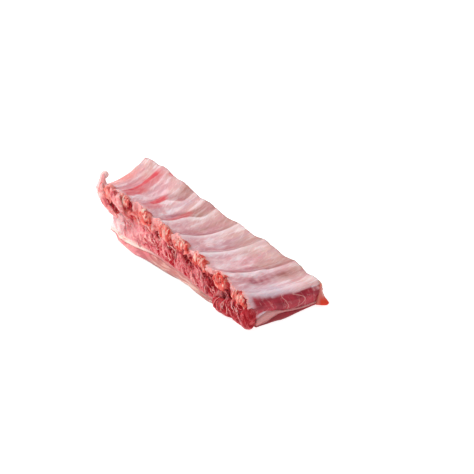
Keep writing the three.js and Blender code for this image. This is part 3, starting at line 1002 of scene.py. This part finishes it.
def make_grain_group():
    """Muscle grain: long soft streaks along the flow's second axis, mottling, and fine relief."""
    tree = bpy.data.node_groups.new("meat_grain", "ShaderNodeTree")
    for way, kind, labels in (("INPUT", "NodeSocketVector", ["Place"]),
                              ("INPUT", "NodeSocketFloat", ["Fineness"]),
                              ("OUTPUT", "NodeSocketFloat", ["Streaks", "Mottle", "Height"])):
        for label in labels:
            tree.interface.new_socket(label, in_out=way, socket_type=kind)
    given = tree.nodes.new("NodeGroupInput").outputs
    place = add(tree, "ShaderNodeVectorMath", {0: given["Place"], "Scale": given["Fineness"]},
                operation="SCALE").outputs[0]
    streaks = texture(tree, place, 0.5, (1, 0.14, 1), 3, 0.5, 0.5)
    mottle = texture(tree, place, 0.11, (1, 0.5, 1), 3, 0.5)
    fine = texture(tree, place, 1.3, (1, 0.3, 1), 3, 0.6)
    height = calculate(tree, "ADD", streaks, times(tree, fine, 0.6))
    add(tree, "NodeGroupOutput", {"Streaks": streaks, "Mottle": mottle, "Height": height})
    return tree


def use_grain(tree, grain_group, fineness):
    """The grain placed in a material: its outputs Streaks, Mottle and Height."""
    inputs = {"Place": flow_place(tree), "Fineness": fineness}
    return add(tree, "ShaderNodeGroup", inputs, node_tree=grain_group).outputs


def new_material(name, inputs):
    """A material whose surface has these inputs: (material, tree, its surface)."""
    material = bpy.data.materials.new(name)
    material.use_nodes = True
    tree = material.node_tree
    surface = tree.nodes["Principled BSDF"]
    set_inputs(tree, surface, inputs)
    return material, tree, surface


def moist_material(name, wetness, subsurface):
    """A moist, slightly translucent material: (material, tree, its surface)."""
    return new_material(name, {
        "Subsurface Weight": subsurface, "Subsurface Radius": (1.0, 0.3, 0.22),
        "Subsurface Scale": 0.0025, "Coat Weight": wetness, "Coat Roughness": 0.12,
        "Specular IOR Level": 0.2,
    })


RELIEF_HEIGHT = 0.0004  # metres, of the grain


def finish_surface(tree, surface, color, grain, varied_with, roughness, strength):
    """Joins colour, relief, and a roughness between two values that varies with the grain."""
    relief = add(tree, "ShaderNodeBump",
                 {"Strength": strength, "Distance": RELIEF_HEIGHT, "Height": grain["Height"]})
    set_inputs(tree, surface, {
        "Base Color": color, "Normal": relief.outputs[0],
        "Roughness": remap(tree, grain[varied_with], 0.3, 0.7, *roughness),
    })


MEMBRANE_LIGHT = linear(246, 208, 212)
MEMBRANE_PINK = linear(228, 166, 172)
MEMBRANE_TAN = linear(218, 176, 166)
# the membrane's white streaks, and the painted highlight on the crests
MEMBRANE_WHITE = linear(254, 238, 242)
MEMBRANE_LAVENDER = linear(204, 172, 185)
MEMBRANE_SHADE = linear(208, 146, 156)
# The next two: meat seen through the membrane in the valleys, darkened as painted shade.
VALLEY_MEAT_AND_SHADE_MAUVE = linear(172, 84, 98)
VALLEY_MEAT_AND_SHADE_TAN = linear(168, 108, 98)
# Painted shade, for the line at the foot of each crest's fold.
CREASE_SHADE_BROWN = linear(152, 84, 86)
FIBRE_TURN = math.radians(-20)  # the membrane's fibres cross the ribs aslant
BARE_RED = linear(216, 62, 76)
RIM_SALMON = linear(244, 142, 136)
BARE_PINK = linear(228, 124, 120)
LEAN_RED = linear(150, 28, 48)
LEAN_BRIGHT = linear(182, 50, 66)
THICK_END_PINK = linear(230, 146, 152)
TORN_SALMON = linear(228, 116, 110)
TORN_MAUVE = linear(218, 112, 120)
FRILL_PINK = linear(250, 194, 192)
TORN_PALE = linear(250, 188, 182)
FLESH_PALE = linear(246, 190, 192)
FLESH_WHITE = linear(254, 228, 228)
CREASE_RED = linear(178, 36, 48)
DEEP_RED = linear(138, 14, 26)
BLOOD_RED = linear(170, 34, 44)
BLOOD_PALE = linear(216, 104, 108)
FAT_WHITE = linear(244, 220, 210)
FAT_PINK = linear(226, 160, 156)
SEAM_PINK = linear(196, 106, 110)
OUTER_PINK = linear(222, 136, 144)
OUTER_PALE = linear(228, 162, 162)
OUTER_TAN = linear(180, 122, 112)
OUTER_GREY = linear(200, 166, 154)
OUTER_CREAM = linear(238, 200, 186)
OUTER_LEAN = linear(160, 70, 74)
# Painted contact shadow, darkening the outer meat towards its foot on the floor.
OUTER_FOOT_SHADOW = linear(112, 58, 58)
SKIN_SALMON = linear(212, 118, 110)
SKIN_PALE = linear(240, 184, 172)
FLAP_ORANGE = linear(222, 72, 52)
BONE_SALMON = linear(238, 146, 136)
BONE_HOT = linear(220, 74, 64)
BONE_CREAM = linear(252, 210, 194)
BONE_IVORY = linear(236, 214, 190)
MARROW = linear(150, 36, 36)


def membrane_color(tree, grain):
    """The membrane: light and tan patches, bands along the ribs, fibres aslant, valleys darkened by
    meat and painted shade, a painted highlight on each crest and painted shade at the foot of its fold.
    """
    place, across = flow_place(tree), attribute(tree, "across")
    patches = texture(tree, place, 0.05, (1, 0.4, 1), 2)
    sawn_side = calculate(tree, "ADD", across, remap(tree, patches, 0.3, 0.7, -0.25, 0.25))
    lavender = texture(tree, place, 0.13, (1, 0.12, 1), 3, 0.55, 0.3)
    bands = texture(tree, place, 0.15, (1, 0.1, 1), 3, 0.55, 0.2)
    thin_end = times(tree, remap(tree, attribute(tree, "rib"), 6.3, 6.8),
                     remap(tree, across, 0.85, 0.4, 0, 0.8))
    turned = add(tree, "ShaderNodeVectorRotate", {"Vector": place, "Angle": FIBRE_TURN},
                 rotation_type="Z_AXIS")
    fibres = texture(tree, turned.outputs[0], 0.6, (1, 0.12, 1), 4, 0.6, 0.4)
    light = layered(
        tree, MEMBRANE_PINK,
        (remap(tree, grain["Mottle"], 0.4, 0.62, 0, 0.8), MEMBRANE_LIGHT),
        (remap(tree, sawn_side, 0.45, 1.0, 0, 0.75), MEMBRANE_TAN),
        (remap(tree, lavender, 0.54, 0.66, 0, 0.4), MEMBRANE_LAVENDER),
        (remap(tree, bands, 0.52, 0.62, 0, 0.55), MEMBRANE_WHITE),
        (remap(tree, bands, 0.48, 0.38, 0, 0.55), MEMBRANE_SHADE),
        (thin_end, MEMBRANE_LAVENDER),
        (remap(tree, fibres, 0.5, 0.7, 0, 0.4), MEMBRANE_WHITE),
        (remap(tree, fibres, 0.48, 0.32, 0, 0.3), MEMBRANE_SHADE),
        (remap(tree, across, 0.14, 0.02, 0, 0.6), MEMBRANE_PINK))
    # Painted shade in the valleys, mixed with meat seen through the membrane.
    dark = blend(tree, remap(tree, sawn_side, 0.3, 0.9), VALLEY_MEAT_AND_SHADE_MAUVE, VALLEY_MEAT_AND_SHADE_TAN)
    valley = times(tree, attribute(tree, "valley"), remap(tree, grain["Streaks"], 0.6, 0.36, 0.7, 1.0))
    # Over the valleys go a painted highlight along each crest's fold and a painted shade line at its
    # foot.
    return layered(tree, light, (valley, dark), (attribute(tree, "crest"), MEMBRANE_WHITE),
                   # painted shade line at the foot of each crest's fold
                   (attribute(tree, "crease", 0.5), CREASE_SHADE_BROWN))


def relief_color(tree, crease, middle, pale, pale_amount=0.9):
    """Dark in the creases of the torn surface, middle on its slopes and pale on its ridges."""
    tone = attribute(tree, "tone")
    color = blend(tree, remap(tree, tone, 0.05, 0.36), crease, middle)
    return blend(tree, remap(tree, tone, 0.6, 0.92, 0, pale_amount), color, pale)


def torn_color(tree, grain, veins):
    """The torn side: salmon to mauve, whiter at the thick end and blood red at the thin end."""
    thick_end, blood = attribute(tree, "pale"), attribute(tree, "blood")
    ragged = calculate(tree, "ADD", attribute(tree, "height"),
                       remap(tree, grain["Mottle"], 0.3, 0.7, -0.15, 0.15))
    slope = blend(tree, remap(tree, ragged, 0.4, 0.7), TORN_MAUVE, TORN_SALMON)
    crease, middle, pale = (
        layered(tree, color, (thick_end, paler), (blood, redder))
        for color, paler, redder in ((CREASE_RED, THICK_END_PINK, DEEP_RED),
                                     (slope, FLESH_PALE, BLOOD_RED),
                                     (TORN_PALE, FLESH_WHITE, BLOOD_PALE)))
    flecks = texture(tree, flow_place(tree), 0.33, (1, 0.5, 0.6), 3, 0.6, 0.8)
    amount = remap(tree, thick_end, 0, 1, 0.6, 0.25)
    return layered(
        tree, relief_color(tree, crease, middle, pale),
        (times(tree, remap(tree, flecks, 0.54, 0.66), amount), pale),
        (times(tree, remap(tree, flecks, 0.46, 0.34), amount), crease),
        (times(tree, veins, 0.6), pale))


VEIN_SCALE, VEIN_WIDTH = 0.17, 0.022  # cycles a millimetre, and half width in values of the noise
# Long veins over a cut end: the place across at the bend, how the vein bows, and the bend's height.
CUT_VEINS = [(0.5, -0.06, 0.45), (0.75, -0.7, 0.6)]
CUT_VEIN_WIDTH = 0.011


def thin_veins(tree):
    """Thin branching lines, as of fat or gristle: 1 on a line, 0 away from it."""
    value = texture(tree, flow_place(tree), VEIN_SCALE, (1, 1, 0.35), 2, 0.5, 0.6)
    away = calculate(tree, "ABSOLUTE", calculate(tree, "SUBTRACT", value, 0.5))
    return calculate(tree, "SUBTRACT", 1.0, calculate(tree, "DIVIDE", away, VEIN_WIDTH), clamp=True)


def cut_vein(tree, across, middle, bow, bend):
    """1 on a vein that bows over the cut end, 0 away from it."""
    rise = calculate(tree, "SUBTRACT", attribute(tree, "height"), bend)
    bowed = times(tree, times(tree, rise, rise), bow)
    beside = calculate(tree, "SUBTRACT", across, calculate(tree, "ADD", bowed, middle))
    slope = calculate(tree, "ABSOLUTE", times(tree, rise, bow))
    width = remap(tree, slope, 0, 0.4, CUT_VEIN_WIDTH, 2.2 * CUT_VEIN_WIDTH)
    return remap(tree, calculate(tree, "ABSOLUTE", beside), width, 0)


def lean_color(tree, grain, veins):
    """Lean meat on the cut sides, with veins of fat."""
    lean = blend(tree, remap(tree, grain["Mottle"], 0.35, 0.65), LEAN_RED, LEAN_BRIGHT)
    wavy = remap(tree, grain["Mottle"], 0.3, 0.7, -0.012, 0.012)
    across = calculate(tree, "ADD", attribute(tree, "across"), wavy)
    long_veins = [(times(tree, cut_vein(tree, across, *vein), 0.7), FAT_PINK) for vein in CUT_VEINS]
    return layered(tree, lean, (times(tree, veins, 0.35), FAT_PINK), *long_veins)


def make_meat_material(grain_group):
    material, tree, surface = moist_material("raw_meat_and_membrane", 0.18, 0.35)
    grain, veins = use_grain(tree, grain_group, 1.0), thin_veins(tree)
    bare = blend(tree, remap(tree, grain["Streaks"], 0.42, 0.68, 0, 0.6), BARE_RED, BARE_PINK)
    color = layered(
        tree, membrane_color(tree, grain),
        (attribute(tree, "rim", 0.75), RIM_SALMON),
        (attribute(tree, "bare"), bare),
        (attribute(tree, "lean"), lean_color(tree, grain, veins)),
        (attribute(tree, "corner", 0.7), SKIN_SALMON),
        (attribute(tree, "torn"), torn_color(tree, grain, veins)),
        (attribute(tree, "deep"), DEEP_RED),
        (attribute(tree, "frill", 0.8), FRILL_PINK),
        (attribute(tree, "fat"), FAT_WHITE))
    finish_surface(tree, surface, color, grain, "Mottle", (0.45, 0.6), 0.45)
    sheltered = times(tree, attribute(tree, "torn"), remap(tree, attribute(tree, "tone"), 0.7, 0.3))
    set_inputs(tree, surface, {
        "Coat Weight": remap(tree, sheltered, 0, 1, 0.18, 0),
        "Specular IOR Level": remap(tree, sheltered, 0, 1, 0.2, 0.05),
    })
    return material


def make_fat_material(grain_group):
    material, tree, surface = moist_material("fat", 0.2, 0.25)
    grain = use_grain(tree, grain_group, 0.8)
    color = layered(
        tree, FAT_WHITE,
        (remap(tree, grain["Mottle"], 0.5, 0.75), FAT_PINK),
        (remap(tree, attribute(tree, "height"), 0.35, 0.05, 0, 0.8), FAT_PINK),
        (attribute(tree, "pink", 0.85), SEAM_PINK))
    finish_surface(tree, surface, color, grain, "Streaks", (0.35, 0.5), 0.35)
    return material


def make_outer_material(grain_group):
    material, tree, surface = moist_material("outer_meat", 0.25, 0.3)
    grain, height = use_grain(tree, grain_group, 0.6), attribute(tree, "height")
    streaks = texture(tree, flow_place(tree), 0.35, (0.1, 0.35, 1), 3, 0.6, 0.5)
    lean = blend(tree, remap(tree, grain["Mottle"], 0.35, 0.7), OUTER_LEAN, LEAN_BRIGHT)
    color = layered(
        tree, OUTER_PINK,
        (remap(tree, grain["Mottle"], 0.38, 0.65), OUTER_PALE),
        (attribute(tree, "tan", 0.75), OUTER_TAN),
        (remap(tree, attribute(tree, "rib"), 4.2, 5, 0, 0.7), OUTER_GREY),
        (remap(tree, streaks, 0.52, 0.64, 0, 0.55), OUTER_CREAM),
        (remap(tree, streaks, 0.48, 0.38, 0, 0.5), OUTER_LEAN),
        (attribute(tree, "lean"), lean),
        # painted contact shadow, darker towards the foot
        (remap(tree, height, 0.7, 0, 0, 0.95), OUTER_FOOT_SHADOW),
        (attribute(tree, "fold"), SKIN_SALMON),
        (attribute(tree, "fat"), SKIN_PALE),
        (attribute(tree, "flap"), FLAP_ORANGE))
    finish_surface(tree, surface, color, grain, "Streaks", (0.34, 0.5), 0.4)
    set_inputs(tree, surface, {
        "Coat Weight": remap(tree, height, 0.1, 0.7, 0, 0.25),
        "Specular IOR Level": remap(tree, height, 0.1, 0.7, 0.02, 0.2),
    })
    return material


def make_bone_material(grain_group):
    material, tree, surface = moist_material("sawn_bone", 0.1, 0.45)
    grain = use_grain(tree, grain_group, 1.4)
    patches = texture(tree, flow_place(tree), 0.22, (1, 1, 0.5), 2)
    warmth = calculate(tree, "ADD", attribute(tree, "warmth"),
                       remap(tree, patches, 0.35, 0.65, -0.4, 0.4), clamp=True)
    rough = relief_color(
        tree, CREASE_RED, blend(tree, warmth, BONE_SALMON, BONE_HOT), BONE_CREAM, 0.8)
    sawn = layered(
        tree, MARROW,
        (remap(tree, attribute(tree, "radius"), 0.62, 0.8), BONE_IVORY),
        (remap(tree, grain["Mottle"], 0.5, 0.7, 0, 0.35), BONE_HOT))
    color = blend(tree, attribute(tree, "sawn"), rough, sawn)
    finish_surface(tree, surface, color, grain, "Mottle", (0.35, 0.55), 0.6)
    return material


def make_strand_material(grain_group):
    material, tree, surface = moist_material("gristle", 0.12, 0.5)
    grain = use_grain(tree, grain_group, 1.5)
    tone = calculate(tree, "ADD", attribute(tree, "tone"),
                     remap(tree, grain["Mottle"], 0.3, 0.7, -0.2, 0.2))
    color = layered(
        tree, TORN_MAUVE,
        (remap(tree, tone, 0.2, 0.8), TORN_PALE),
        (attribute(tree, "blood", 0.6), BLOOD_PALE),
        (attribute(tree, "deep", 0.8), BLOOD_RED))
    finish_surface(tree, surface, color, grain, "Streaks", (0.3, 0.45), 0.3)
    return material


# ---------------------------------------------------------------- floor, light and camera

CAMERA_AZIMUTH = 53.95
CAMERA_ELEVATION = 27.12
CAMERA_DISTANCE = 1400
CAMERA_TARGET = np.array([-5.86, 36.61, 15])
LENS = 115.37  # on a 36 mm sensor
LAMP_PLACE = (-0.5, -0.8, 1.5)  # metres; it points at the frame's origin
LAMP_SIZE, LAMP_POWER = 0.5, 21  # metres across, watts


def make_floor():
    material, _, _ = new_material("white_floor", {
        "Base Color": (0.5, 0.5, 0.5, 1), "Roughness": 0.9, "Specular IOR Level": 0.1,
        "Emission Color": (1, 1, 1, 1), "Emission Strength": 0.85,
    })
    bpy.ops.mesh.primitive_plane_add(size=30, location=(0, 0, 0))
    floor = bpy.context.object
    floor.name = "floor"
    floor.data.materials.append(material)


def make_lights():
    world = bpy.data.worlds.new("white_room")
    world.use_nodes = True
    background = {"Color": (1, 1, 1, 1), "Strength": 0.5}
    set_inputs(world.node_tree, world.node_tree.nodes["Background"], background)
    bpy.context.scene.world = world
    light = bpy.data.lights.new("overhead", "AREA")
    light.shape = "DISK"
    light.size = LAMP_SIZE
    light.energy = LAMP_POWER
    lamp = bpy.data.objects.new("overhead", light)
    lamp.location = LAMP_PLACE
    lamp.rotation_euler = (-Vector(LAMP_PLACE)).to_track_quat("-Z", "Y").to_euler()
    bpy.context.collection.objects.link(lamp)


def make_camera():
    azimuth, elevation = math.radians(CAMERA_AZIMUTH), math.radians(CAMERA_ELEVATION)
    direction = np.array([
        math.sin(azimuth) * math.cos(elevation),
        -math.cos(azimuth) * math.cos(elevation),
        math.sin(elevation),
    ])
    data = bpy.data.cameras.new("camera")
    data.lens = LENS
    data.sensor_width = 36
    data.clip_start = 0.05
    camera = bpy.data.objects.new("camera", data)
    camera.location = (CAMERA_TARGET + SHIFT + CAMERA_DISTANCE * direction) / 1000
    camera.rotation_euler = Vector(direction).to_track_quat("Z", "Y").to_euler()
    bpy.context.collection.objects.link(camera)
    bpy.context.scene.camera = camera


def main():
    grain_group = make_grain_group()
    make_rib_meat(make_meat_material(grain_group))
    make_fat(make_fat_material(grain_group))
    make_outer(make_outer_material(grain_group))
    make_bones(make_bone_material(grain_group))
    make_strands(make_strand_material(grain_group))
    make_floor()
    make_lights()
    make_camera()
    bpy.context.scene.view_settings.view_transform = "Standard"


main()
